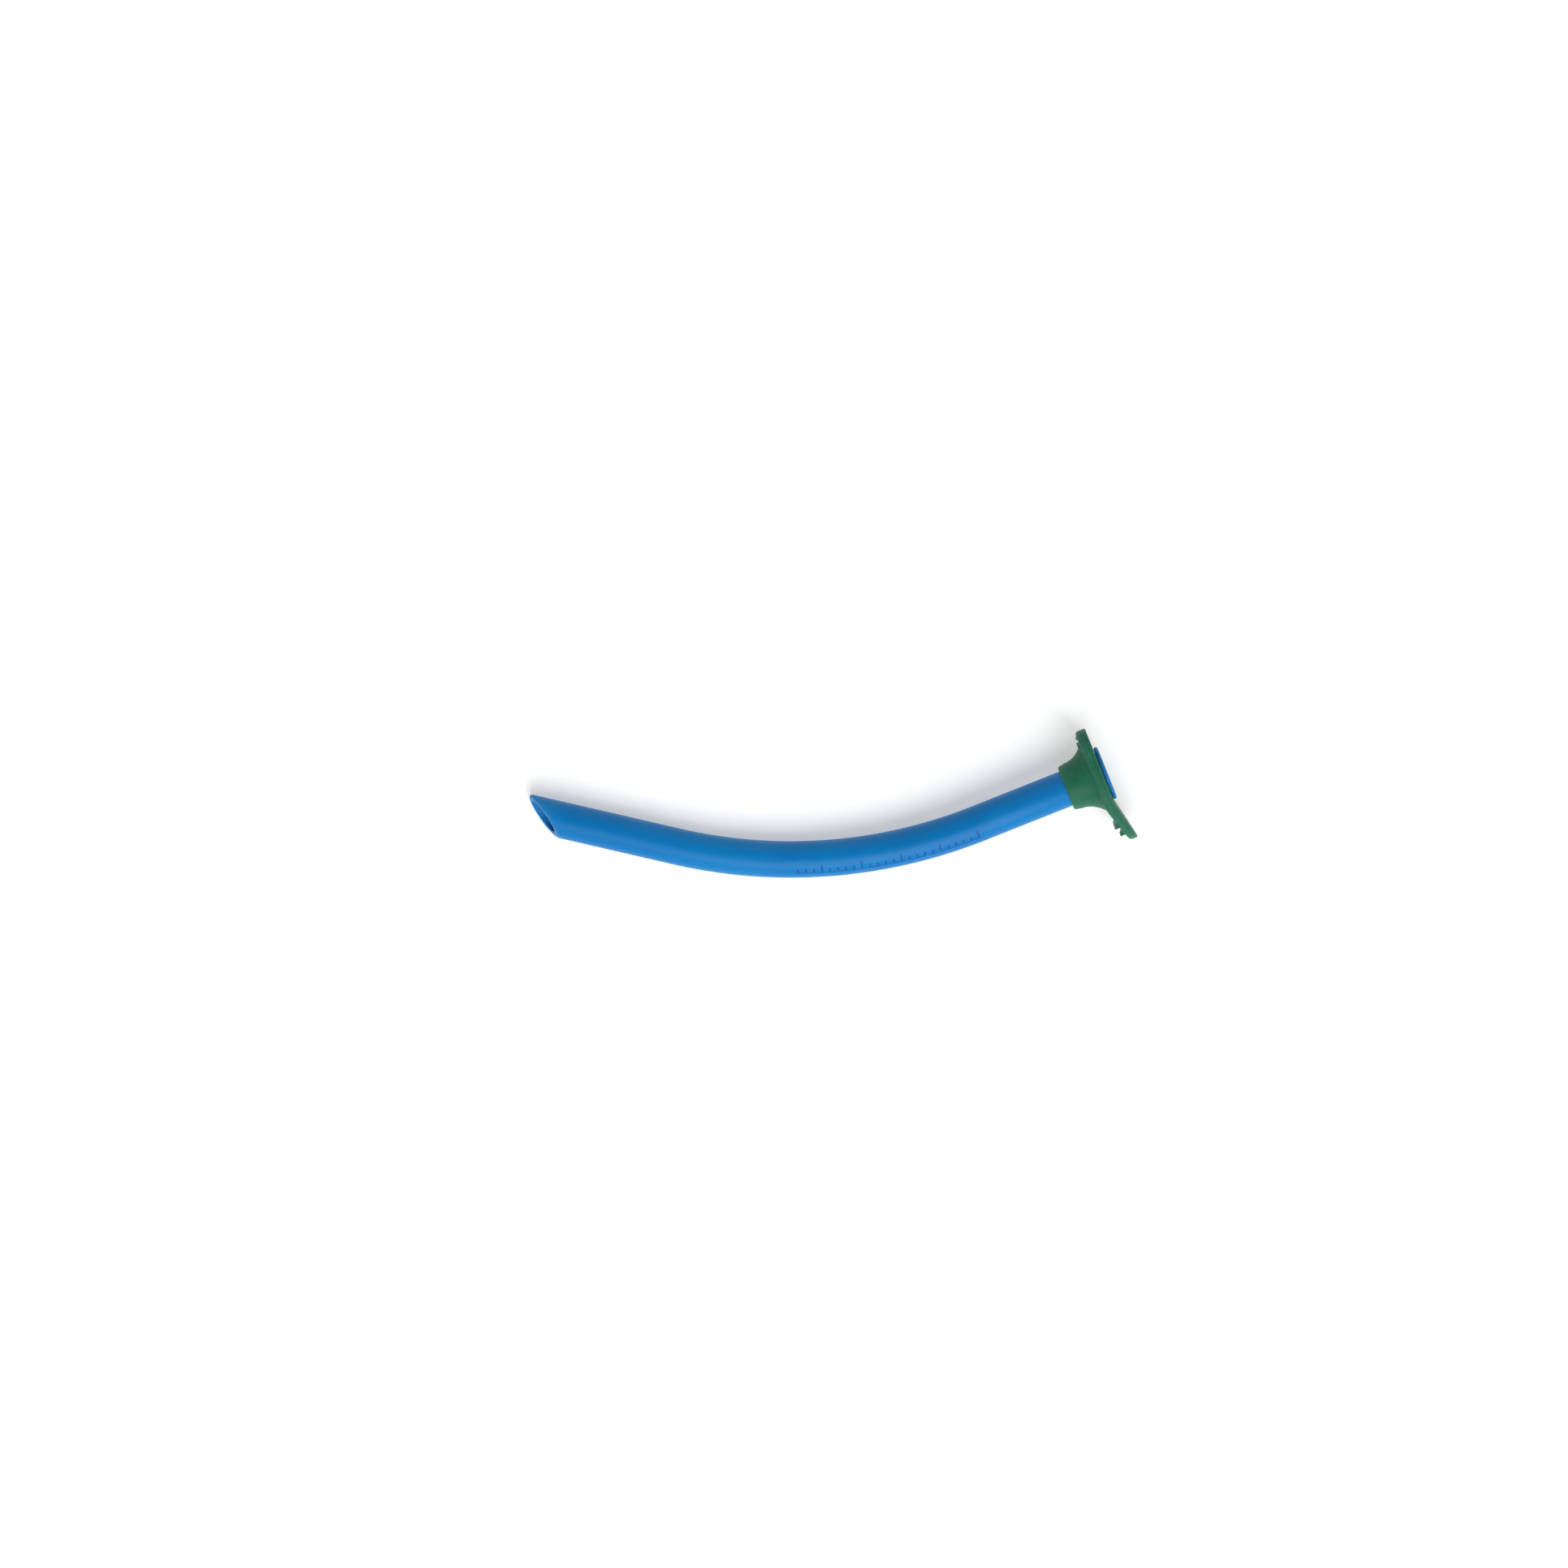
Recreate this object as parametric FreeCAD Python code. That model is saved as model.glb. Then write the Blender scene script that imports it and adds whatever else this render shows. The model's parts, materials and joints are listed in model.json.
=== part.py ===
import FreeCAD, Part
import math
import os

from FreeCAD import Placement, Rotation, Vector

# Nasopharyngeal airway: a soft curved tube with a bevelled tip and a flared lip, and a
# flange that slides along its straight end. Millimetres and degrees.

# Tube. Its French size is three times the outer diameter in millimetres.
french_size = 28.0
tube_radius = french_size / 3.0 / 2.0
bore_radius = 3.25
lip_end_straight = 35.1
bend_radius = 127.8
bend_angle = 35.0
tip_end_straight = 40.2

# Bevelled tip. The cut is rolled about the tube's axis, so that its opening looks up a little.
bevel_angle = 42.0
bevel_roll = 28.0
tip_round = 0.6

# Lip, neck and bell mouth
lip_radius = 7.0
lip_thickness = 1.1
lip_edge_round = 0.4
neck_chamfer = 1.0
bell_round = 2.4

# Sleeve of the flange, round the tube
running_clearance = 0.06
seat_clearance = 0.05
sleeve_length = 10.05
sleeve_radius = 5.75
sleeve_edge_chamfer = 0.4
sleeve_entry_chamfer = 0.3
sleeve_taper = 11.0

# Flare from the round sleeve to an oval under the plate, along the wings and across them
flare_length = 6.5
flare_turn = 72.0
flare_reach_along = 7.5
flare_reach_across = 2.6
flare_bite = 0.9
flare_sections = 8

# Oval plate: a long wing on the outside of the bend and a short one on the inside
long_wing = 18.2
short_wing = 12.5
long_wing_sweep = 12.5
sweep_radius = 15.0
plate_half_width = 9.0
plate_end_radius = 7.6
plate_thickness = 2.8
long_wing_tip_thickness = 2.2
lip_margin = 0.4
rim_chamfer = 0.8

# Grip bars under the wings: distance in from the wing's end, width, and depth from the wing's
# face to the bar's crest
long_wing_bars = ((4.5, 1.9, 3.55), (2.1, 1.8, 3.5))
short_wing_bars = ((3.2, 1.3, 3.9), (1.5, 1.1, 3.5))
grip_bar_inset = 1.1
grip_bar_root = 0.5
grip_bar_chamfer = 0.25

# Lying on its side. The tube touches the floor this far into the bend, counted from the tip's
# end, and the lip's end is turned this much from the right, seen from above.
belly_angle = 2.0
lip_end_rise = 22.0
levelling_rounds = 8

# How far a cutting body runs past what it cuts
overrun = 1.0


def line(start, end):
    """Straight edge between two points of the X-Y plane."""
    return Part.LineSegment(Vector(*start), Vector(*end)).toShape()


def arc(centre, radius, start, end):
    """Round edge in the X-Y plane, between two directions in degrees."""
    def at(angle):
        turn = math.radians(angle)
        return Vector(centre[0] + radius * math.cos(turn), centre[1] + radius * math.sin(turn), 0)
    return Part.Arc(at(start), at((start + end) / 2.0), at(end)).toShape()


def turned(edges):
    """Solid of revolution about the X axis from a closed outline."""
    return Part.Face(Part.Wire(edges)).revolve(Vector(), Vector(1, 0, 0), 360)


def lip_end():
    """Straight end of the tube with its neck, lip and bell mouth. The lip's face is at X = 0."""
    seat = -lip_thickness
    neck = seat - neck_chamfer
    rim = lip_radius - lip_edge_round
    bell = bore_radius + bell_round
    return turned([
        line((-lip_end_straight, tube_radius), (neck, tube_radius)),
        line((neck, tube_radius), (seat, tube_radius + neck_chamfer)),
        line((seat, tube_radius + neck_chamfer), (seat, lip_radius)),
        line((seat, lip_radius), (-lip_edge_round, lip_radius)),
        arc((-lip_edge_round, rim), lip_edge_round, 90, 0),
        line((0, rim), (0, bell)),
        arc((-bell_round, bell), bell_round, 0, -90),
        line((-bell_round, bore_radius), (-lip_end_straight, bore_radius)),
        line((-lip_end_straight, bore_radius), (-lip_end_straight, tube_radius)),
    ])


def ring_section(x):
    """The tube's cross-section at x on the X axis."""
    outer, bore = (Part.Face(Part.Wire(Part.makeCircle(radius, Vector(x, 0, 0), Vector(1, 0, 0))))
                   for radius in (tube_radius, bore_radius))
    return outer.cut(bore).Faces[0]


def round_the_bend():
    """Placement that carries the straight end's frame to the other end of the bend."""
    centre = Vector(-lip_end_straight, bend_radius, 0)
    return Placement(Vector(), Rotation(Vector(0, 0, -1), bend_angle), centre)


def bend():
    """Curved stretch of the tube."""
    centre = Vector(-lip_end_straight, bend_radius, 0)
    return ring_section(-lip_end_straight).revolve(centre, Vector(0, 0, -1), bend_angle)


def flat_face(solid, normal):
    """The flat face of the solid that looks most nearly along normal."""
    flat = [face for face in solid.Faces if isinstance(face.Surface, Part.Plane)]
    return max(flat, key=lambda face: face.normalAt(0, 0).dot(normal))


def tip_end():
    """Straight end of the tube with the bevelled tip, cut on the X axis and carried round the bend."""
    start = -lip_end_straight
    roll, slope = math.radians(bevel_roll), math.radians(bevel_angle)
    long_side = Vector(0, math.cos(roll), -math.sin(roll))
    outwards = Vector(-1, 0, 0) * math.sin(slope) - long_side * math.cos(slope)
    reach = 2.0 * (2.0 * tube_radius / math.sin(slope) + overrun)
    waste = Part.makeBox(reach, reach, reach, Vector(-reach / 2.0, -reach / 2.0, 0))
    waste.Placement = Placement(Vector(start - tip_end_straight, 0, 0) + long_side * tube_radius,
                                Rotation(Vector(0, 0, 1), outwards))
    tip = ring_section(start).extrude(Vector(-tip_end_straight, 0, 0)).cut(waste)
    tip = tip.makeFillet(tip_round, flat_face(tip, outwards).OuterWire.Edges)
    tip.Placement = round_the_bend()
    return tip


def airway_tube():
    """The tube, one moulding from the bevelled tip to the lip."""
    return lip_end().fuse([bend(), tip_end()]).removeSplitter()


def sleeve_radius_at(x):
    """Outer radius of the tapered sleeve, where X = 0 is the plate's face."""
    return sleeve_radius + (x + sleeve_length) * math.tan(math.radians(sleeve_taper))


def flare_start():
    """Where the sleeve ends and the flare begins."""
    return -plate_thickness + flare_bite - flare_length * math.sin(math.radians(flare_turn))


def sleeve():
    """Tapered sleeve, still without its bore."""
    front = -sleeve_length
    shoulder = front + sleeve_edge_chamfer
    edge = sleeve_radius - sleeve_edge_chamfer
    wide = sleeve_radius_at(flare_start())
    core = -plate_thickness / 2.0
    return turned([
        line((front, 0), (front, edge)),
        line((front, edge), (shoulder, sleeve_radius_at(shoulder))),
        line((shoulder, sleeve_radius_at(shoulder)), (flare_start(), wide)),
        line((flare_start(), wide), (core, wide)),
        line((core, wide), (core, 0)),
        line((core, 0), (front, 0)),
    ])


def flare():
    """Trumpet from the round sleeve to an oval that ends inside the plate."""
    root = sleeve_radius_at(flare_start())
    ovals = []
    for step in range(flare_sections):
        turn = math.radians(flare_turn * step / (flare_sections - 1))
        x = flare_start() + flare_length * math.sin(turn)
        along = root + flare_reach_along * (1.0 - math.cos(turn))
        across = root + flare_reach_across * (1.0 - math.cos(turn))
        ellipse = Part.Ellipse(Vector(x, along, 0), Vector(x, 0, across), Vector(x, 0, 0))
        ovals.append(Part.Wire(ellipse.toShape()))
    return Part.makeLoft(ovals, True, False)


def plate_outline():
    """The plate's oval in the Y-Z plane: four arcs that run into each other."""
    middle = (short_wing - long_wing) / 2.0
    half_length = (short_wing + long_wing) / 2.0
    end_centre = half_length - plate_end_radius
    side = ((end_centre ** 2 + plate_half_width ** 2 - plate_end_radius ** 2)
            / (2.0 * (plate_half_width - plate_end_radius)))
    meet = math.atan2(side - plate_half_width, end_centre)
    y = end_centre + plate_end_radius * math.cos(meet)
    z = plate_end_radius * math.sin(meet)
    corners = [(y, z), (-y, z), (-y, -z), (y, -z)]
    crowns = [(0, plate_half_width), (-half_length, 0), (0, -plate_half_width), (half_length, 0)]
    arcs = []
    for i, crown in enumerate(crowns):
        points = [Vector(0, middle + point[0], point[1])
                  for point in (corners[i], crown, corners[(i + 1) % 4])]
        arcs.append(Part.Arc(*points).toShape())
    return Part.Wire(arcs)


def prism(outline, start, end):
    """Solid with an outline in the Y-Z plane, from X = start to X = end."""
    face = Part.Face(outline)
    face.translate(Vector(start, 0, 0))
    return face.extrude(Vector(end - start, 0, 0))


def wing_face(distance, sweep):
    """How far out a wing's face lies at this distance from the tube's axis."""
    return (distance - lip_radius - lip_margin) * math.tan(math.radians(sweep))


def plate():
    """Oval plate with a chamfered rim, flat round the lip and swept outwards along the long wing."""
    root = -lip_radius - lip_margin
    top, bottom = short_wing + overrun, -long_wing - overrun
    swept = wing_face(-bottom, long_wing_sweep)
    outline = [(0, top), (0, root), (swept, bottom), (swept - long_wing_tip_thickness, bottom),
               (-plate_thickness, root), (-plate_thickness, top), (0, top)]
    deep = plate_half_width + overrun
    section = Part.Face(Part.makePolygon([Vector(x, y, -deep) for x, y in outline]))
    slab = section.extrude(Vector(0, 0, 2.0 * deep))
    kinks = [edge for edge in slab.Edges
             if abs(edge.CenterOfMass.z) < overrun and abs(edge.CenterOfMass.y - root) < overrun]
    slab = slab.makeFillet(sweep_radius, kinks)
    oval = slab.common(prism(plate_outline(), -long_wing, long_wing))
    rim = [edge for edge in oval.Edges if not isinstance(edge.Curve, Part.Line)]
    return oval.makeChamfer(rim_chamfer, rim)


def grip_bar(wing, sweep, inwards, width, depth):
    """Bar across the underside of a wing on the +Y side, as long as its round end has room for."""
    room = (plate_end_radius - grip_bar_inset) ** 2 - (plate_end_radius - inwards) ** 2
    length = 2.0 * math.sqrt(room)
    face = wing_face(wing - inwards - width / 2.0, sweep)
    corner = Vector(face - depth, wing - inwards - width, -length / 2.0)
    bar = Part.makeBox(depth - grip_bar_root, width, length, corner)
    return bar.makeChamfer(grip_bar_chamfer, bar.Edges)


def grip_bars():
    """The bars under both wings."""
    bars = [grip_bar(short_wing, 0.0, *bar) for bar in short_wing_bars]
    for bar in long_wing_bars:
        bars.append(grip_bar(long_wing, long_wing_sweep, *bar).mirror(Vector(), Vector(0, 1, 0)))
    return bars


def bore_and_seat():
    """What the tube and its neck take out of the flange."""
    bore = tube_radius + running_clearance
    seat = bore + neck_chamfer
    front = -sleeve_length
    entry = bore + sleeve_entry_chamfer
    return turned([
        line((front - overrun, 0), (front - overrun, entry)),
        line((front - overrun, entry), (front, entry)),
        line((front, entry), (front + sleeve_entry_chamfer, bore)),
        line((front + sleeve_entry_chamfer, bore), (-neck_chamfer, bore)),
        line((-neck_chamfer, bore), (0, seat)),
        line((0, seat), (overrun, seat)),
        line((overrun, seat), (overrun, 0)),
        line((overrun, 0), (front - overrun, 0)),
    ])


def adjustable_flange():
    """The flange, one moulding, pushed up to the lip."""
    flange = sleeve().fuse([flare(), plate(), *grip_bars()]).cut(bore_and_seat()).removeSplitter()
    flange.translate(Vector(-lip_thickness - seat_clearance, 0, 0))
    return flange


def lowest(shape, placement):
    """Height of the shape's lowest point once it is placed."""
    placed = shape.copy()
    placed.Placement = placement.multiply(placed.Placement)
    return placed.optimalBoundingBox(False).ZMin


def lying(tube, flange):
    """Placement on the floor, where the tube's belly and the plate's rim carry it."""
    centre = Vector(-lip_end_straight, bend_radius, 0)
    belly = Placement(Vector(), Rotation(Vector(0, 0, -1), bend_angle - belly_angle), centre)
    hinge = belly.multVec(Vector(-lip_end_straight, 0, 0))
    along = belly.Rotation.multVec(Vector(1, 0, 0))
    arm = (Vector(-lip_thickness, 0, 0) - hinge).dot(Vector(0, 0, 1).cross(along))
    tilt = 0.0
    for step in range(levelling_rounds):
        tipped = Placement(Vector(), Rotation(along, tilt), hinge)
        tilt += math.degrees(math.asin((lowest(tube, tipped) - lowest(flange, tipped)) / arm))
    return Placement(Vector(), Rotation(Vector(0, 0, 1), lip_end_rise)).multiply(tipped)


os.makedirs("parts", exist_ok=True)
nodes = {"airway_tube": airway_tube(), "adjustable_flange": adjustable_flange()}
rest = lying(nodes["airway_tube"], nodes["adjustable_flange"])
for shape in nodes.values():
    shape.Placement = rest.multiply(shape.Placement)
box = Part.makeCompound(list(nodes.values())).optimalBoundingBox(False)
for name, shape in nodes.items():
    shape.translate(Vector(-box.Center.x, -box.Center.y, -box.ZMin))
    shape.exportStep(f"parts/{name}.step")
    print(name, "valid" if shape.isValid() else "not valid", len(shape.Solids), "solid",
          round(shape.Volume, 1), "mm3")
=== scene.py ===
import json
import math

import bmesh
import bpy
from mathutils import Matrix, Vector


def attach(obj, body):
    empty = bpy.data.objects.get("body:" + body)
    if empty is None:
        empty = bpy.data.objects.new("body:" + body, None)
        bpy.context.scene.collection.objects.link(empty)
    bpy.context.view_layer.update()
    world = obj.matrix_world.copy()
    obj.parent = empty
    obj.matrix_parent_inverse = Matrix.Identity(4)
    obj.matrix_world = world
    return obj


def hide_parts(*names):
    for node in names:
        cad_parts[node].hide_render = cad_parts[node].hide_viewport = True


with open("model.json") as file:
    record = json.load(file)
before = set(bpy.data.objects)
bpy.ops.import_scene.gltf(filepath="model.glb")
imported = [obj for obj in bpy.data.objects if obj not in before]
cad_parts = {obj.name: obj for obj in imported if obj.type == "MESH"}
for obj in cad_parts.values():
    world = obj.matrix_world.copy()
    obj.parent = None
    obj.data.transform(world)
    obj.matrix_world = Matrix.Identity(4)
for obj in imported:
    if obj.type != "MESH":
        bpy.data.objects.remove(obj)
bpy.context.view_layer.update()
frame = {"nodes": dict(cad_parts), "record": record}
print("frame loaded:", sorted(frame["nodes"]))

# The airway is modelled in millimetres on a bench: the lip's face at X = 0, the tube running
# towards -X, the inside of the bend on +Y. One matrix then lays it down where the CAD lies.
mm = 0.001

tube = {
    "radius": 28 / 3 / 2,     # a third of a millimetre for each French unit
    "bore": 3.25,
    "straight": 35.1,         # from the lip's face to the bend
    "bendRadius": 127.8,
    "bendAngle": 35.0,
    "tipStraight": 40.2,
    "bevelAngle": 42.0,
    "bevelRoll": 28.0,
    "tipRound": 1.2,          # width of the round on the bevel's outside edge
    "mouthRound": 0.5,        # and on the edge of its opening
    "lipRadius": 7.0,
    "lipThickness": 1.1,
    "lipRound": 0.5,
    "neck": 1.0,
    "bell": 2.4,
    "spareStrip": 1.0,        # straight tube past the bevel, cut away with it
    "sides": 112,
    "bendSteps": 72,
    "tipSteps": 8,
    "lipSteps": 5,
    "bellSteps": 12,
    "tipRoundSteps": 6,
    "mouthRoundSteps": 4,
    "mergeWithin": 0.0005,
    "wearAngle": 16,          # a turn of this many degrees counts as a full edge
    "sharpAngle": 50,
}


def mountNamed(name):
    return next(mount for mount in frame["record"]["mounts"] if mount["name"] == name)


def benchPlacement():
    lip, tip = mountNamed("lip_bore"), mountNamed("tip_bore")
    along = Vector(lip["axis"]).normalized()
    up = along.cross(Vector(tip["axis"])).normalized()
    inside = up.cross(along)
    lipFace = Vector(lip["pos_m"]) + along * (lip["dims"]["length_mm"] / 2 + tube["bell"]) * mm
    turn = Matrix((along, inside, up)).transposed().to_4x4()
    return Matrix.Translation(lipFace) @ turn @ Matrix.Scale(mm, 4)


benchToWorld = benchPlacement()
bendCentre = Vector((-tube["straight"], tube["bendRadius"], 0))
bendLength = tube["bendRadius"] * math.radians(tube["bendAngle"])
bendTurn = Matrix.Rotation(-math.radians(tube["bendAngle"]), 4, "Z")
roundTheBend = Matrix.Translation(bendCentre) @ bendTurn @ Matrix.Translation(-bendCentre)


def chain(bm, points):
    verts = [bm.verts.new((x, y, 0)) for x, y in points]
    for start, end in zip(verts, verts[1:]):
        bm.edges.new((start, end))
    return verts


def roundCorners(bm, verts, size, segments):
    bmesh.ops.bevel(bm, geom=verts, offset=size, offset_type="OFFSET", segments=segments,
                    profile=0.5, affect="VERTICES", material=-1, clamp_overlap=True)


def roundEdges(bm, edges, size, segments, measure="OFFSET"):
    bmesh.ops.bevel(bm, geom=edges, offset=size, offset_type=measure, segments=segments,
                    profile=0.5, affect="EDGES", material=-1, clamp_overlap=True)


def openEdges(bm):
    return [edge for edge in bm.edges if edge.is_boundary]


def ofKind(geom, kind):
    return [item for item in geom if isinstance(item, kind)]


def stretch(bm, edges, step, count=1):
    # carries open rings along a straight line
    for _ in range(count):
        made = bmesh.ops.extrude_edge_only(bm, edges=edges)["geom"]
        bmesh.ops.translate(bm, verts=ofKind(made, bmesh.types.BMVert), vec=step)
        edges = ofKind(made, bmesh.types.BMEdge)
    return edges


def markWear(bm, fullAngle, passes=2):
    # 1 on the rounded edges that hands and packing rub, fading into the flats beside them
    worn = bm.verts.layers.float.new("edgeWear")
    for vert in bm.verts:
        turns = [edge.calc_face_angle_signed(0) for edge in vert.link_edges if edge.is_manifold]
        vert[worn] = min(1.0, max([0.0] + turns) / math.radians(fullAngle))
    for _ in range(passes):
        eased = {vert: sum(edge.other_vert(vert)[worn] for edge in vert.link_edges)
                 / len(vert.link_edges) for vert in bm.verts}
        for vert, value in eased.items():
            vert[worn] = (vert[worn] + value) / 2


def finishPiece(bm, name, body, node, sharpAngle):
    bmesh.ops.transform(bm, matrix=benchToWorld, verts=bm.verts)
    mesh = bpy.data.meshes.new(name)
    bm.to_mesh(mesh)
    bm.free()
    mesh.shade_smooth()
    mesh.set_sharp_from_angle(angle=math.radians(sharpAngle))
    piece = bpy.data.objects.new(name, mesh)
    bpy.context.collection.objects.link(piece)
    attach(piece, body)
    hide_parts(node)
    print(name + ":", len(mesh.polygons), "faces")
    return piece


def tubeStation(spot):
    # length along the tube from the lip, and the turn about it from the outside of the bend
    fromCentre = spot - bendCentre
    turn = math.atan2(-fromCentre.x, -fromCentre.y)
    if turn <= 0:
        along, outwards = -spot.x, -spot.y
    elif turn <= math.radians(tube["bendAngle"]):
        along = tube["straight"] + turn * tube["bendRadius"]
        outwards = math.hypot(fromCentre.x, fromCentre.y) - tube["bendRadius"]
    else:
        unbent = roundTheBend.inverted() @ spot
        along, outwards = bendLength - unbent.x, -unbent.y
    return along, math.degrees(math.atan2(spot.z, outwards))


def lipEnd(bm):
    # half section from the bend, over the neck and lip, into the bell mouth and down the bore
    radius, seat = tube["radius"], -tube["lipThickness"]
    verts = chain(bm, [
        (-tube["straight"], radius),
        (seat - tube["neck"], radius),
        (seat, radius + tube["neck"]),
        (seat, tube["lipRadius"]),
        (0, tube["lipRadius"]),
        (0, tube["bore"]),
        (-tube["straight"], tube["bore"]),
    ])
    roundCorners(bm, verts[3:5], tube["lipRound"], tube["lipSteps"])
    roundCorners(bm, verts[5:6], tube["bell"], tube["bellSteps"])
    bmesh.ops.spin(bm, geom=bm.edges[:] + bm.verts[:], cent=(0, 0, 0), axis=(1, 0, 0),
                   angle=2 * math.pi, steps=tube["sides"], use_merge=True)
    bmesh.ops.remove_doubles(bm, verts=bm.verts, dist=tube["mergeWithin"])


def bevelTip(bm, rings):
    # the last straight runs past the bevel in one long strip, is cut, closed and rounded
    roll, slope = math.radians(tube["bevelRoll"]), math.radians(tube["bevelAngle"])
    longSide = Vector((0, math.cos(roll), -math.sin(roll)))
    outwards = Vector((-math.sin(slope), 0, 0)) - longSide * math.cos(slope)
    backwards = bendTurn.to_3x3() @ Vector((-1, 0, 0))
    spare = tube["spareStrip"]
    whole = tube["tipStraight"] - 2 * tube["radius"] / math.tan(slope) - spare
    rings = stretch(bm, rings, backwards * whole / tube["tipSteps"], tube["tipSteps"])
    stretch(bm, rings, backwards * (tube["tipStraight"] - whole + spare))
    cutPoint = Vector((-tube["straight"] - tube["tipStraight"], 0, 0)) + longSide * tube["radius"]
    bmesh.ops.bisect_plane(bm, geom=bm.verts[:] + bm.edges[:] + bm.faces[:], dist=0.0001,
                           plane_co=roundTheBend @ cutPoint,
                           plane_no=bendTurn.to_3x3() @ outwards, clear_outer=True)
    cut = openEdges(bm)
    bmesh.ops.bridge_loops(bm, edges=cut)
    bmesh.ops.recalc_face_normals(bm, faces=bm.faces)
    unbent = roundTheBend.inverted()
    midWall = (tube["radius"] + tube["bore"]) / 2

    def isOuter(edge):
        spot = unbent @ edge.verts[0].co
        return math.hypot(spot.y, spot.z) > midWall

    outer = [edge for edge in cut if isOuter(edge)]
    inner = [edge for edge in cut if not isOuter(edge)]
    roundEdges(bm, outer, tube["tipRound"], tube["tipRoundSteps"], measure="WIDTH")
    roundEdges(bm, inner, tube["mouthRound"], tube["mouthRoundSteps"], measure="WIDTH")


def buildTube():
    bm = bmesh.new()
    lipEnd(bm)
    rings = openEdges(bm)
    ringVerts = list({vert for edge in rings for vert in edge.verts})
    bent = bmesh.ops.spin(bm, geom=rings + ringVerts, cent=bendCentre, axis=(0, 0, -1),
                          angle=math.radians(tube["bendAngle"]), steps=tube["bendSteps"])
    bevelTip(bm, ofKind(bent["geom_last"], bmesh.types.BMEdge))
    markWear(bm, fullAngle=tube["wearAngle"])
    along, around = (bm.verts.layers.float.new(name) for name in ("alongTube", "aroundTube"))
    for vert in bm.verts:
        vert[along], vert[around] = tubeStation(vert.co)
    return finishPiece(bm, "airwayTube", "airway_tube", "airway_tube",
                       sharpAngle=tube["sharpAngle"])


airwayTube = buildTube()


flange = {
    "gap": 1.15,              # from the lip's face back to the plate's
    "clearance": 0.06,
    "sleeveLength": 10.05,
    "sleeveRadius": 5.75,
    "sleeveRound": 0.5,
    "sleeveEntry": 0.3,
    "sleeveTaper": 11.0,
    "flareLength": 6.5,
    "flareTurn": 72.0,
    "flareAlong": 7.5,
    "flareAcross": 2.6,
    "flareBite": 0.9,
    "flareSteps": 12,
    "flareBlend": 0.7,        # hollow round where the flare runs into the plate
    "longWing": 18.2,
    "shortWing": 12.5,
    "sweep": 12.5,
    "sweepStart": 7.4,
    "sweepRadius": 15.0,
    "halfWidth": 9.0,
    "endRadius": 7.6,
    "thickness": 2.8,
    "endThickness": 2.2,
    "underRound": 0.95,
    "faceRound": 0.38,
    "channelBack": 0.42,      # from the plate's face to the hollow line round its rim
    "channelWidth": 0.95,
    "channelDepth": 0.16,
    "channelSlope": 0.36,
    "channelFade": 4.5,       # it runs out towards the wings' ends
    # each grip tooth: its crest from the wing's end, its ramp, its depth from the plate's face
    "longTeeth": ((4.5, 2.5, 3.55), (2.1, 1.8, 3.5)),
    "shortTeeth": ((3.2, 2.4, 3.5), (1.5, 1.2, 3.2)),
    "toothInset": 1.1,
    "toothRoot": 0.9,         # sunk into the plate
    "toothRound": 0.2,
    "rampRise": 0.85,         # share of the tooth's height that its ramp climbs
    "rampFoot": 2.0,          # the plate's thickness under the ramp
    "wingMargin": 1.0,        # the thinning runs out this far past the long wing's end
    "sides": 96,
    "endSteps": 28,           # the outline's four arcs share out the same sides
    "sideSteps": 20,
    "plateCuts": 9,           # rings across the plate's flats, which let the wing bend
    "underSteps": 6,
    "faceSteps": 5,
    "blendSteps": 4,
    "toothSteps": 3,
    "wearAngle": 20,
    "sharpAngle": 35,
}
sweepSlope = math.tan(math.radians(flange["sweep"]))


def sleeveRadiusAt(x):
    rise = (x + flange["sleeveLength"]) * math.tan(math.radians(flange["sleeveTaper"]))
    return flange["sleeveRadius"] + rise


def wingFace(distance):
    # the plate's face runs from flat round the lip into the swept wing
    run = flange["sweepRadius"] * math.tan(math.radians(flange["sweep"] / 2))
    past = distance - flange["sweepStart"]
    if past >= run:
        return past * sweepSlope
    return max(0.0, past + run) ** 2 * sweepSlope / (4 * run)


def wingUnderside(distance):
    reach = flange["longWing"] + flange["wingMargin"] - flange["sweepStart"]
    thinning = (flange["thickness"] - flange["endThickness"]) / reach
    return wingFace(distance) * (1 + thinning / sweepSlope)


def sweepWing(bm, flareStart):
    # bends the long wing outwards, and the flare under it with less and less of that bend
    under = -flange["thickness"]
    for vert in bm.verts:
        face, underside = wingFace(-vert.co.y), wingUnderside(-vert.co.y)
        if vert.co.x > under:
            share = 1 - vert.co.x / under
            vert.co.x += underside + share * (face - underside)
        elif vert.co.x > flareStart:
            share = (vert.co.x - flareStart) / (under - flareStart)
            vert.co.x += share ** 2 * underside


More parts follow.
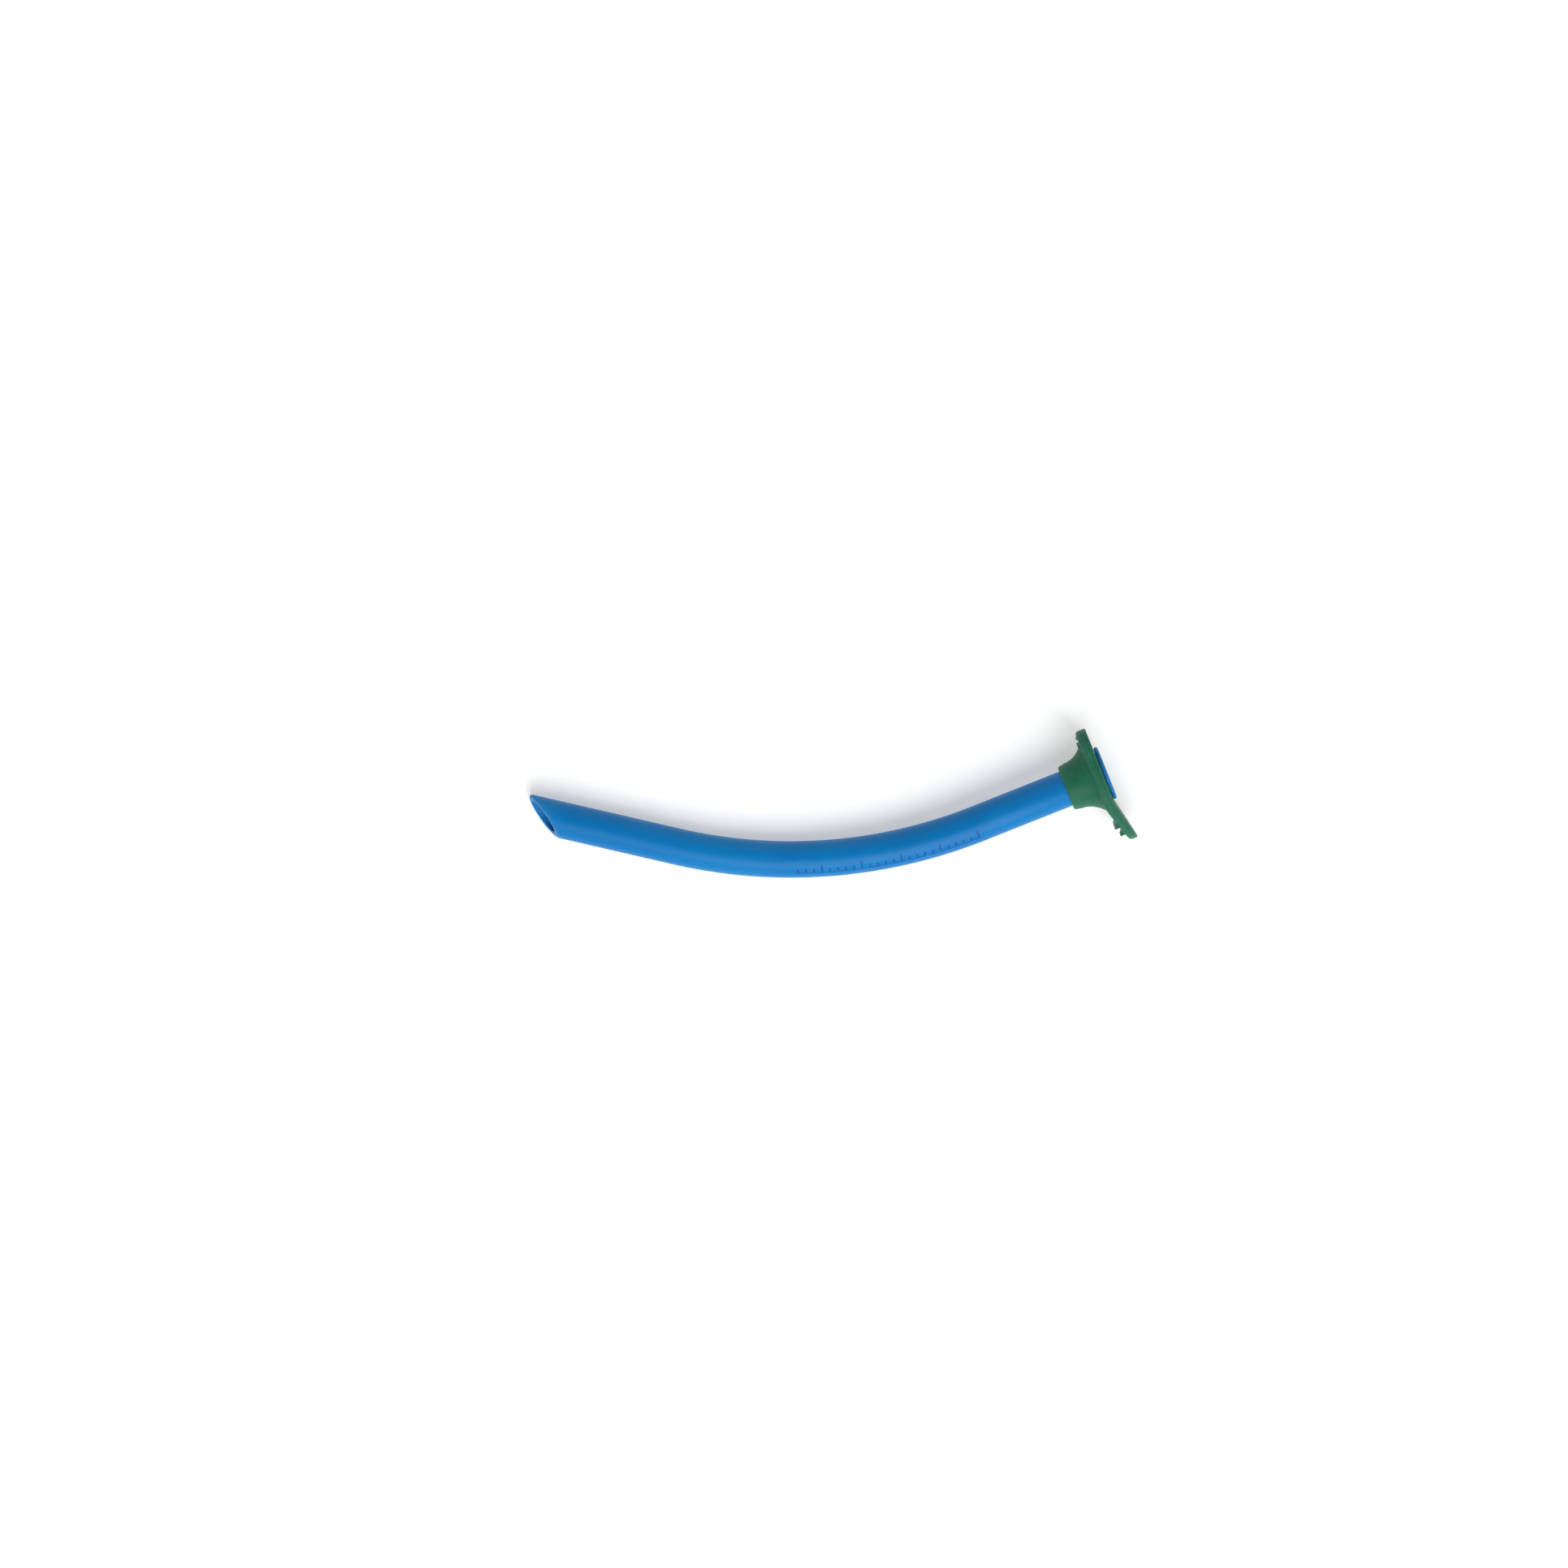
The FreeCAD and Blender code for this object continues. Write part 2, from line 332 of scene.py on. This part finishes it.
def plateOutline(bm, x):
    # four arcs, each spun from the end of the last: a wing's end, a long side, and both again
    middle = (flange["shortWing"] - flange["longWing"]) / 2
    half, end = flange["halfWidth"], flange["endRadius"]
    endCentre = (flange["shortWing"] + flange["longWing"]) / 2 - end
    side = (endCentre ** 2 + half ** 2 - end ** 2) / (2 * (half - end))
    meet = math.atan2(side - half, endCentre)
    start = bm.verts.new((x, middle + endCentre + end * math.cos(meet), -end * math.sin(meet)))
    endSteps, sideSteps = flange["endSteps"], flange["sideSteps"]
    arcs = (((x, middle + endCentre, 0), 2 * meet, endSteps),
            ((x, middle, half - side), math.pi - 2 * meet, sideSteps),
            ((x, middle - endCentre, 0), 2 * meet, endSteps),
            ((x, middle, side - half), math.pi - 2 * meet, sideSteps))
    corner, line = start, []
    for centre, turn, steps in arcs:
        known = set(bm.edges)
        spun = bmesh.ops.spin(bm, geom=[corner], cent=centre, axis=(1, 0, 0), angle=turn,
                              steps=steps)
        corner = ofKind(spun["geom_last"], bmesh.types.BMVert)[0]
        line += [edge for edge in bm.edges if edge not in known]
    bmesh.ops.weld_verts(bm, targetmap={corner: start})
    line = [edge for edge in line if edge.is_valid]
    return line + [edge for edge in start.link_edges if edge not in line]


def ring(bm, x, radius):
    turn = Matrix.Translation((x, 0, 0)) @ Matrix.Rotation(math.radians(90), 4, "Y")
    made = bmesh.ops.create_circle(bm, segments=flange["sides"], radius=radius, matrix=turn)
    return list({edge for vert in made["verts"] for edge in vert.link_edges})


def carry(bm, edges, x, along, across):
    # the next ring of a turned shape: pushed to x and scaled to its own oval
    made = bmesh.ops.extrude_edge_only(bm, edges=edges)["geom"]
    verts = ofKind(made, bmesh.types.BMVert)
    bmesh.ops.translate(bm, verts=verts, vec=(x - verts[0].co.x, 0, 0))
    bmesh.ops.scale(bm, verts=verts, vec=(1, along, across))
    return ofKind(made, bmesh.types.BMEdge)


def boreAndSleeve(bm, flareStart):
    # from the neck's seat down the bore, over the sleeve's mouth and up its taper
    bore = tube["radius"] + flange["clearance"]
    seat, entry, edge = bore + tube["neck"], bore + flange["sleeveEntry"], flange["sleeveRadius"]
    front = -flange["sleeveLength"]
    seatRing = ring(bm, 0, seat)
    rings = carry(bm, seatRing, -tube["neck"], bore / seat, bore / seat)
    rings = carry(bm, rings, front + flange["sleeveEntry"], 1, 1)
    rings = carry(bm, rings, front, entry / bore, entry / bore)
    mouthEdge = carry(bm, rings, front, edge / entry, edge / entry)
    wide = sleeveRadiusAt(flareStart)
    return seatRing, mouthEdge, carry(bm, mouthEdge, flareStart, wide / edge, wide / edge)


def flare(bm, rings, flareStart):
    # trumpet of ovals from the round sleeve to the plate's underside
    root = sleeveRadiusAt(flareStart)
    lastTurn = math.asin((-flange["thickness"] - flareStart) / flange["flareLength"])
    along, across = root, root
    for step in range(1, flange["flareSteps"] + 1):
        turn = lastTurn * step / flange["flareSteps"]
        newAlong = root + flange["flareAlong"] * (1 - math.cos(turn))
        newAcross = root + flange["flareAcross"] * (1 - math.cos(turn))
        rings = carry(bm, rings, flareStart + flange["flareLength"] * math.sin(turn),
                      newAlong / along, newAcross / across)
        along, across = newAlong, newAcross
    return rings


def closeFlat(bm, inner, outer):
    # loops in one plane can be bridged twisted, so the outer one is held 1 mm off it meanwhile
    verts = list({vert for edge in outer for vert in edge.verts})
    bmesh.ops.translate(bm, verts=verts, vec=(1, 0, 0))
    bmesh.ops.bridge_loops(bm, edges=inner + outer)
    bmesh.ops.translate(bm, verts=verts, vec=(-1, 0, 0))


def layFlat(face, x):
    return abs(face.normal.x) > 0.999 and abs(face.calc_center_median().x - x) < 0.01


def crossCuts(bm, x):
    flat = {face for face in bm.faces if layFlat(face, x)}
    spokes = [edge for edge in bm.edges if len(flat & set(edge.link_faces)) == 2]
    bmesh.ops.subdivide_edges(bm, edges=spokes, cuts=flange["plateCuts"], use_grid_fill=True)


def rimChannel(bm, rim):
    # a shallow hollow line round the rim, beside the face's edge
    uprights = [edge for edge in rim["edges"] if abs(edge.verts[0].co.x - edge.verts[1].co.x) > 1]
    cut = bmesh.ops.subdivide_edges(bm, edges=uprights, cuts=2, use_grid_fill=True)
    lines = ofKind(cut["geom_inner"], bmesh.types.BMVert)
    front, back = -flange["channelBack"], -flange["channelBack"] - flange["channelWidth"]
    for vert in lines:
        vert.co.x = front if vert.co.x > -flange["thickness"] / 2 else back
    onLines = set(lines)
    channel = [face for face in bm.faces if onLines.issuperset(face.verts)]
    bmesh.ops.inset_region(bm, faces=channel, thickness=flange["channelSlope"],
                           depth=-flange["channelDepth"], use_even_offset=True)
    bm.normal_update()
    for vert in {corner for face in channel for corner in face.verts}:
        share = min(1.0, abs(vert.co.z) / flange["channelFade"])
        outwards = Vector((0, vert.normal.y, vert.normal.z)).normalized()
        vert.co += outwards * flange["channelDepth"] * (1 - share ** 2)


def flangeBody():
    bm = bmesh.new()
    drop = flange["flareLength"] * math.sin(math.radians(flange["flareTurn"]))
    flareStart = -flange["thickness"] + flange["flareBite"] - drop
    seatRing, mouthEdge, rings = boreAndSleeve(bm, flareStart)
    rings = flare(bm, rings, flareStart)
    underOutline, faceOutline = plateOutline(bm, -flange["thickness"]), plateOutline(bm, 0)
    closeFlat(bm, rings, underOutline)
    closeFlat(bm, seatRing, faceOutline)
    rim = bmesh.ops.bridge_loops(bm, edges=underOutline + faceOutline)
    bmesh.ops.recalc_face_normals(bm, faces=bm.faces)
    rimChannel(bm, rim)
    roundEdges(bm, underOutline, flange["underRound"], flange["underSteps"])
    roundEdges(bm, faceOutline, flange["faceRound"], flange["faceSteps"])
    roundEdges(bm, rings, flange["flareBlend"], flange["blendSteps"])
    roundEdges(bm, mouthEdge, flange["sleeveRound"], flange["blendSteps"])
    crossCuts(bm, -flange["thickness"])
    crossCuts(bm, 0)
    sweepWing(bm, flareStart)
    return bm


def gripTooth(bm, side, wing, slope, inwards, ramp, depth):
    # a wedge across the wing's underside: it rises from the flare's side and ends in a step
    end = flange["endRadius"]
    room = (end - flange["toothInset"]) ** 2 - (end - inwards) ** 2
    crest = wing - inwards
    face = (crest - ramp / 2 - flange["sweepStart"]) * slope
    made = bmesh.ops.create_cube(bm, size=1)["verts"]
    bmesh.ops.scale(bm, verts=made, vec=(depth - flange["toothRoot"], ramp, 2 * math.sqrt(room)))
    bmesh.ops.translate(bm, verts=made, vec=(face - (depth + flange["toothRoot"]) / 2,
                                             side * (crest - ramp / 2), 0))
    foot = flange["rampFoot"]
    rampStart = [vert for vert in made
                 if vert.co.x < face - foot and abs(vert.co.y) < crest - ramp / 2]
    bmesh.ops.translate(bm, verts=rampStart, vec=(flange["rampRise"] * (depth - foot), 0, 0))
    roundEdges(bm, list({edge for vert in made for edge in vert.link_edges}),
               flange["toothRound"], flange["toothSteps"])


def joined(bodyMesh, teethMesh):
    # one closed moulding from the plate and its teeth
    body, teeth = (bpy.data.objects.new("forJoining", mesh) for mesh in (bodyMesh, teethMesh))
    for piece in (body, teeth):
        bpy.context.collection.objects.link(piece)
    union = body.modifiers.new("join", "BOOLEAN")
    union.operation, union.solver, union.object = "UNION", "EXACT", teeth
    whole = body.evaluated_get(bpy.context.evaluated_depsgraph_get())
    bm = bmesh.new()
    bm.from_mesh(whole.to_mesh())
    for piece in (body, teeth):
        bpy.data.objects.remove(piece)
    return bm


def buildFlange():
    body, teeth = flangeBody(), bmesh.new()
    for tooth in flange["longTeeth"]:
        gripTooth(teeth, -1, flange["longWing"], sweepSlope, *tooth)
    for tooth in flange["shortTeeth"]:
        gripTooth(teeth, 1, flange["shortWing"], 0, *tooth)
    meshes = []
    for bm in (body, teeth):
        meshes.append(bpy.data.meshes.new("forJoining"))
        bm.to_mesh(meshes[-1])
        bm.free()
    bm = joined(*meshes)
    bmesh.ops.translate(bm, verts=bm.verts, vec=(-flange["gap"], 0, 0))
    markWear(bm, fullAngle=flange["wearAngle"])
    return finishPiece(bm, "adjustableFlange", "flange", "adjustable_flange",
                       sharpAngle=flange["sharpAngle"])


adjustableFlange = buildFlange()


def newGroup(name, inputs, outputs):
    group = bpy.data.node_groups.new(name, "ShaderNodeTree")
    for label, kind, value in inputs:
        socket = group.interface.new_socket(label, in_out="INPUT", socket_type="NodeSocket" + kind)
        if value is not None:
            socket.default_value = value
    for label, kind in outputs:
        group.interface.new_socket(label, in_out="OUTPUT", socket_type="NodeSocket" + kind)
    return group, group.nodes.new("NodeGroupInput"), group.nodes.new("NodeGroupOutput")


def addNode(tree, kind, links=(), **settings):
    node = tree.nodes.new("ShaderNode" + kind)
    for key, value in settings.items():
        setattr(node, key, value)
    for socket, value in links:
        if isinstance(value, bpy.types.NodeSocket):
            tree.links.new(value, node.inputs[socket])
        else:
            node.inputs[socket].default_value = value
    return node


def calc(tree, operation, *values):
    return addNode(tree, "Math", enumerate(values), operation=operation).outputs[0]


def ramp(tree, value, low, high, smooth=True):
    # 0 at low and 1 at high, either way round
    node = addNode(tree, "MapRange", [("Value", value), ("From Min", low), ("From Max", high)])
    node.interpolation_type = "SMOOTHSTEP" if smooth else "LINEAR"
    return node.outputs["Result"]


def mixColor(tree, share, first, second):
    node = tree.nodes.new("ShaderNodeMix")
    node.data_type = "RGBA"
    for index, value in ((0, share), (6, first), (7, second)):
        if isinstance(value, bpy.types.NodeSocket):
            tree.links.new(value, node.inputs[index])
        else:
            node.inputs[index].default_value = value
    return node.outputs[2]


def noise(tree, vector, scale, detail=2.0, roughness=0.5, distortion=0.0):
    return addNode(tree, "TexNoise", [("Vector", vector), ("Scale", scale), ("Detail", detail),
                                      ("Roughness", roughness), ("Distortion", distortion)])


surfaceLook = {
    "cloudFrom": 0.35,        # noise levels between which the tint comes in
    "cloudTo": 0.68,
    "patchesPerCloud": 4.0,
    "patchShare": 0.7,        # of the uneven gloss, the rest is the grain's
    "rubFrom": 0.25,          # edge values between which an edge is rubbed
    "rubTo": 0.95,
    "rubBreakSize": 1800.0,   # and the noise that breaks the rub up
    "rubBreakFrom": 0.30,
    "rubBreakTo": 0.70,
    "speckRadius": 0.07,      # share of a cell
}


def vinylGroup():
    # soft vinyl: cloudy tint, fine moulded grain and the uneven gloss that comes with it
    group, source, sink = newGroup("mouldedVinyl", [
        ("Vector", "Vector", None), ("Color", "Color", (0.5, 0.5, 0.5, 1)),
        ("Tint", "Color", (0.5, 0.5, 0.5, 1)), ("Tint Amount", "Float", 0.5),
        ("Cloud Size", "Float", 60.0), ("Grain Size", "Float", 2600.0),
        ("Roughness", "Float", 0.4), ("Roughness Spread", "Float", 0.1),
    ], [("Color", "Color"), ("Roughness", "Float"), ("Height", "Float")])
    given, look = source.outputs, surfaceLook
    clouds = noise(group, given["Vector"], given["Cloud Size"], 3.0, 0.55, 0.4)
    grain = noise(group, given["Vector"], given["Grain Size"], 3.0, 0.6)
    patchSize = calc(group, "MULTIPLY", given["Cloud Size"], look["patchesPerCloud"])
    patches = noise(group, given["Vector"], patchSize, 2.0)
    share = calc(group, "MULTIPLY", given["Tint Amount"],
                 ramp(group, clouds.outputs["Fac"], look["cloudFrom"], look["cloudTo"]))
    group.links.new(mixColor(group, share, given["Color"], given["Tint"]), sink.inputs["Color"])
    patchShare = look["patchShare"]
    uneven = calc(group, "ADD", calc(group, "MULTIPLY", patches.outputs["Fac"], patchShare),
                  calc(group, "MULTIPLY", grain.outputs["Fac"], 1 - patchShare))
    spread = calc(group, "MULTIPLY", calc(group, "SUBTRACT", uneven, 0.5),
                  given["Roughness Spread"])
    group.links.new(calc(group, "ADD", given["Roughness"], spread), sink.inputs["Roughness"])
    group.links.new(grain.outputs["Fac"], sink.inputs["Height"])
    return group


def wearGroup():
    # rubbed edges and a few specks of dust, both as masks
    group, source, sink = newGroup("handling", [
        ("Vector", "Vector", None), ("Edge", "Float", 0.0), ("Speck Size", "Float", 700.0),
        ("Speck Share", "Float", 0.06),
    ], [("Rub", "Float"), ("Specks", "Float")])
    given, look = source.outputs, surfaceLook
    broken = noise(group, given["Vector"], look["rubBreakSize"], 4.0, 0.7).outputs["Fac"]
    rub = calc(group, "MULTIPLY", ramp(group, given["Edge"], look["rubFrom"], look["rubTo"]),
               ramp(group, broken, look["rubBreakFrom"], look["rubBreakTo"]))
    group.links.new(rub, sink.inputs["Rub"])
    cells = addNode(group, "TexVoronoi", [("Vector", given["Vector"]),
                                          ("Scale", given["Speck Size"])])
    chosen = addNode(group, "SeparateColor", [("Color", cells.outputs["Color"])])
    few = calc(group, "LESS_THAN", chosen.outputs["Red"], given["Speck Share"])
    size = calc(group, "MULTIPLY", chosen.outputs["Green"], look["speckRadius"])
    speck = calc(group, "LESS_THAN", cells.outputs["Distance"], size)
    group.links.new(calc(group, "MULTIPLY", few, speck), sink.inputs["Specks"])
    return group


vinyl, handling = vinylGroup(), wearGroup()
print("shader groups")


tubeFinish = {
    "color": (0.0010, 0.179, 0.468, 1),
    "deep": (0.0009, 0.142, 0.405, 1),
    "ink": (0.0009, 0.085, 0.300, 1),
    "rubbed": (0.10, 0.32, 0.58, 1),
    "dust": (0.62, 0.66, 0.68, 1),
    "roughness": 0.34,
    "gloss": 0.16,            # soft vinyl: the colour stays deep under the lamps
    "grainHeight": 0.000012,
    "roughnessSpread": 0.16,
    "cloudSize": 45.0,
    "grainSize": 2400.0,
    "speckSize": 620.0,
    "specksIn": 0.035,        # share of the cells that hold a speck
    "streakAlong": 0.06,      # drawn streaks: long along the tube, fine around it
    "streakAround": 0.35,
    "streakFrom": 0.42,
    "streakTo": 0.72,
    "streakRelief": 0.4,
    "streakRough": 0.06,
    "speckRelief": 1.5,
    "rubRough": 0.12,
    "inkRough": -0.05,
    "softness": 0.18,         # share of light that goes under the surface
    "softReach": 0.0012,
    "softTint": (0.25, 0.7, 1.0),
    "tintShare": 0.55,
    "streakShare": 0.12,
    "inkShare": 0.92,
    "rubShare": 0.28,
    "dustShare": 0.35,
    "scaleStart": 36.0,       # the depth scale, in millimetres from the lip
    "scaleEnd": 82.0,
    "scaleAround": 47.0,      # degrees up from the outside of the bend
    "pitch": 2.0,
    "tallEvery": 5,
    "inkEdge": 0.05,          # the ink's soft edge
    "inkGapSize": 1500.0,     # worn gaps in the ink
    "inkGapFrom": 0.30,
    "inkGapTo": 0.42,
    "tick": 0.55,
    "shortTick": 1.4,
    "tallTick": 2.5,
    "baseLine": 0.35,
}

flangeFinish = {
    "color": (0.0110, 0.110, 0.060, 1),
    "tint": (0.022, 0.150, 0.084, 1),
    "rubbed": (0.12, 0.30, 0.22, 1),
    "dust": (0.60, 0.64, 0.60, 1),
    "roughness": 0.46,
    "gloss": 0.15,
    "grainHeight": 0.00002,
    "roughnessSpread": 0.14,
    "cloudSize": 150.0,
    "grainSize": 3200.0,
    "speckSize": 700.0,
    "specksIn": 0.05,
    "flowSize": 210.0,
    "flowFrom": 0.52,
    "flowTo": 0.66,
    "flowRelief": 0.8,
    "rubRough": 0.1,
    "softness": 0.12,
    "softReach": 0.0010,
    "softTint": (0.3, 1.0, 0.6),
    "tintShare": 0.6,
    "flowShare": 0.25,
    "rubShare": 0.2,
    "dustShare": 0.35,
}


def newMaterial(name):
    material = bpy.data.materials.new(name)
    material.use_nodes = True
    return material, material.node_tree, material.node_tree.nodes["Principled BSDF"]


def groupNode(tree, group, links):
    node = tree.nodes.new("ShaderNodeGroup")
    node.node_tree = group
    for socket, value in links:
        if isinstance(value, bpy.types.NodeSocket):
            tree.links.new(value, node.inputs[socket])
        else:
            node.inputs[socket].default_value = value
    return node.outputs


def attribute(tree, name):
    return addNode(tree, "Attribute", attribute_name=name).outputs["Fac"]


def vinylSurface(tree, finish, place, tint):
    surface = groupNode(tree, vinyl, [
        ("Vector", place), ("Color", finish["color"]), ("Tint", tint),
        ("Tint Amount", finish["tintShare"]), ("Cloud Size", finish["cloudSize"]),
        ("Grain Size", finish["grainSize"]), ("Roughness", finish["roughness"]),
        ("Roughness Spread", finish["roughnessSpread"])])
    marks = groupNode(tree, handling, [
        ("Vector", place), ("Edge", attribute(tree, "edgeWear")),
        ("Speck Size", finish["speckSize"]), ("Speck Share", finish["specksIn"])])
    return surface, marks


def addShare(tree, value, mask, share):
    return calc(tree, "ADD", value, calc(tree, "MULTIPLY", mask, share))


def bumpInto(tree, shader, relief, finish):
    bump = addNode(tree, "Bump", [("Height", relief), ("Distance", finish["grainHeight"]),
                                  ("Strength", 1.0)])
    tree.links.new(bump.outputs["Normal"], shader.inputs["Normal"])


def layer(tree, finish, mask, share, under, over):
    return mixColor(tree, calc(tree, "MULTIPLY", mask, finish[share]), under, finish[over])


def soften(shader, finish):
    shader.inputs["Subsurface Weight"].default_value = finish["softness"]
    shader.inputs["Subsurface Radius"].default_value = finish["softTint"]
    shader.inputs["Subsurface Scale"].default_value = finish["softReach"]
    shader.inputs["Specular IOR Level"].default_value = finish["gloss"]


def scaleMask(tree, vector):
    # ink of a plain depth scale: a base line with a tick every pitch and now and then a taller one
    finish = tubeFinish
    along, around = attribute(tree, "alongTube"), attribute(tree, "aroundTube")
    degree = math.radians(1) * tube["radius"]
    soft = finish["inkEdge"]
    height = calc(tree, "MULTIPLY", calc(tree, "SUBTRACT", around, finish["scaleAround"]), degree)

    def ticks(pitch, tall):
        centred = calc(tree, "FLOORED_MODULO",
                       calc(tree, "SUBTRACT", along, finish["scaleStart"] - pitch / 2), pitch)
        near = calc(tree, "ABSOLUTE", calc(tree, "SUBTRACT", centred, pitch / 2))
        wide = ramp(tree, near, finish["tick"] / 2 + soft, finish["tick"] / 2 - soft)
        high = ramp(tree, height, tall + soft, tall - soft)
        return calc(tree, "MULTIPLY", wide, high)

    base = ramp(tree, height, finish["baseLine"] + soft, finish["baseLine"] - soft)
    short = ticks(finish["pitch"], finish["shortTick"])
    tall = ticks(finish["tallEvery"] * finish["pitch"], finish["tallTick"])
    marks = calc(tree, "MAXIMUM", base, calc(tree, "MAXIMUM", short, tall))
    first = finish["scaleStart"] - finish["tick"] / 2
    last = finish["scaleEnd"] + finish["tick"] / 2
    inside = calc(tree, "MULTIPLY", ramp(tree, along, first - soft, first),
                  ramp(tree, along, last + soft, last))
    above = ramp(tree, height, -soft, soft)
    gaps = noise(tree, vector, finish["inkGapSize"], 3.0, 0.7).outputs["Fac"]
    worn = ramp(tree, gaps, finish["inkGapFrom"], finish["inkGapTo"])
    whole = calc(tree, "MULTIPLY", calc(tree, "MULTIPLY", marks, inside), above)
    return calc(tree, "MULTIPLY", whole, worn)


def buildTubeMaterial():
    finish = tubeFinish
    material, tree, shader = newMaterial("blueVinyl")
    place = addNode(tree, "TexCoord").outputs["Object"]
    follow = addNode(tree, "CombineXYZ", [
        ("X", calc(tree, "MULTIPLY", attribute(tree, "alongTube"), finish["streakAlong"])),
        ("Y", calc(tree, "MULTIPLY", attribute(tree, "aroundTube"), finish["streakAround"])),
    ]).outputs[0]
    streaks = noise(tree, follow, 1.0, 3.0, 0.6).outputs["Fac"]
    surface, marks = vinylSurface(tree, finish, place, finish["deep"])
    ink = scaleMask(tree, place)
    streaked = layer(tree, finish, ramp(tree, streaks, finish["streakFrom"], finish["streakTo"]),
                     "streakShare", surface["Color"], "deep")
    inked = layer(tree, finish, ink, "inkShare", streaked, "ink")
    rubbed = layer(tree, finish, marks["Rub"], "rubShare", inked, "rubbed")
    dusty = layer(tree, finish, marks["Specks"], "dustShare", rubbed, "dust")
    tree.links.new(dusty, shader.inputs["Base Color"])
    rough = addShare(tree, surface["Roughness"], marks["Rub"], finish["rubRough"])
    rough = addShare(tree, rough, streaks, finish["streakRough"])
    rough = addShare(tree, rough, ink, finish["inkRough"])
    tree.links.new(rough, shader.inputs["Roughness"])
    relief = addShare(tree, surface["Height"], streaks, finish["streakRelief"])
    relief = addShare(tree, relief, marks["Specks"], finish["speckRelief"])
    bumpInto(tree, shader, relief, finish)
    soften(shader, finish)
    return material


def buildFlangeMaterial():
    finish = flangeFinish
    material, tree, shader = newMaterial("greenVinyl")
    place = addNode(tree, "TexCoord").outputs["Object"]
    surface, marks = vinylSurface(tree, finish, place, finish["tint"])
    # pale flow marks where the moulding ran from the sleeve out into the wings
    flow = noise(tree, place, finish["flowSize"], 2.0, 0.5, 2.5).outputs["Fac"]
    flowed = layer(tree, finish, ramp(tree, flow, finish["flowFrom"], finish["flowTo"]),
                   "flowShare", surface["Color"], "tint")
    rubbed = layer(tree, finish, marks["Rub"], "rubShare", flowed, "rubbed")
    dusty = layer(tree, finish, marks["Specks"], "dustShare", rubbed, "dust")
    tree.links.new(dusty, shader.inputs["Base Color"])
    rough = addShare(tree, surface["Roughness"], marks["Rub"], finish["rubRough"])
    tree.links.new(rough, shader.inputs["Roughness"])
    relief = addShare(tree, surface["Height"], flow, finish["flowRelief"])
    bumpInto(tree, shader, relief, finish)
    soften(shader, finish)
    return material


airwayTube.data.materials.append(buildTubeMaterial())
adjustableFlange.data.materials.append(buildFlangeMaterial())
print("materials")


studio = {
    "floorColor": (0.82, 0.82, 0.82, 1),
    "floorSize": 3.0,
    "floorRoughness": 0.9,
    "floorLift": 0.30,        # camera rays only: takes the pale floor up to white
    "overhead": 0.12,         # the room is darker straight above than round the walls
    "walls": 0.95,
    "wallTop": 0.35,          # height of the way out at which the walls start to darken
    "overheadFrom": 0.95,
    "keyPlace": (0.30, -0.80, 1.00),
    "keySize": 1.3,
    "keyPower": 17.0,
    "lookAt": (-0.0123, 0.0050, 0.0050),
    "distance": 1.107,
    "lens": 100.0,
    "sensor": 36.0,
}


def buildFloor():
    bm = bmesh.new()
    bmesh.ops.create_grid(bm, x_segments=1, y_segments=1, size=studio["floorSize"])
    mesh = bpy.data.meshes.new("floor")
    bm.to_mesh(mesh)
    bm.free()
    floor = bpy.data.objects.new("floor", mesh)
    bpy.context.collection.objects.link(floor)
    material, tree, shader = newMaterial("paleFloor")
    shader.inputs["Base Color"].default_value = studio["floorColor"]
    shader.inputs["Roughness"].default_value = studio["floorRoughness"]
    shader.inputs["Specular IOR Level"].default_value = 0.0
    rays = addNode(tree, "LightPath").outputs
    seen = calc(tree, "MAXIMUM", rays["Is Camera Ray"],
                calc(tree, "MAXIMUM", rays["Is Glossy Ray"], rays["Is Transmission Ray"]))
    shader.inputs["Emission Color"].default_value = (1, 1, 1, 1)
    tree.links.new(calc(tree, "MULTIPLY", seen, studio["floorLift"]),
                   shader.inputs["Emission Strength"])
    mesh.materials.append(material)


def buildWorld():
    world = bpy.data.worlds.new("studio")
    world.use_nodes = True
    tree = world.node_tree
    back = tree.nodes["Background"]
    back.inputs["Color"].default_value = (1, 1, 1, 1)
    way = addNode(tree, "SeparateXYZ", [("Vector", addNode(tree, "TexCoord").outputs["Generated"])])
    height = addNode(tree, "MapRange", [
        ("Value", way.outputs["Z"]), ("From Min", studio["wallTop"]),
        ("From Max", studio["overheadFrom"]), ("To Min", studio["walls"]),
        ("To Max", studio["overhead"])])
    tree.links.new(height.outputs["Result"], back.inputs["Strength"])
    bpy.context.scene.world = world


def buildKey():
    data = bpy.data.lights.new("key", "AREA")
    data.shape, data.size, data.energy = "DISK", studio["keySize"], studio["keyPower"]
    lamp = bpy.data.objects.new("key", data)
    lamp.location = studio["keyPlace"]
    aim = Vector(studio["lookAt"]) - lamp.location
    lamp.rotation_euler = aim.to_track_quat("-Z", "Y").to_euler()
    bpy.context.collection.objects.link(lamp)


def buildCamera():
    data = bpy.data.cameras.new("camera")
    data.lens, data.sensor_width = studio["lens"], studio["sensor"]
    data.clip_start, data.clip_end = 0.01, 20.0
    camera = bpy.data.objects.new("camera", data)
    camera.location = Vector(studio["lookAt"]) + Vector((0, 0, studio["distance"]))
    bpy.context.collection.objects.link(camera)
    bpy.context.scene.camera = camera


buildFloor()
buildWorld()
buildKey()
buildCamera()
bpy.context.scene.view_settings.view_transform = "Standard"
print("floor, light and camera")
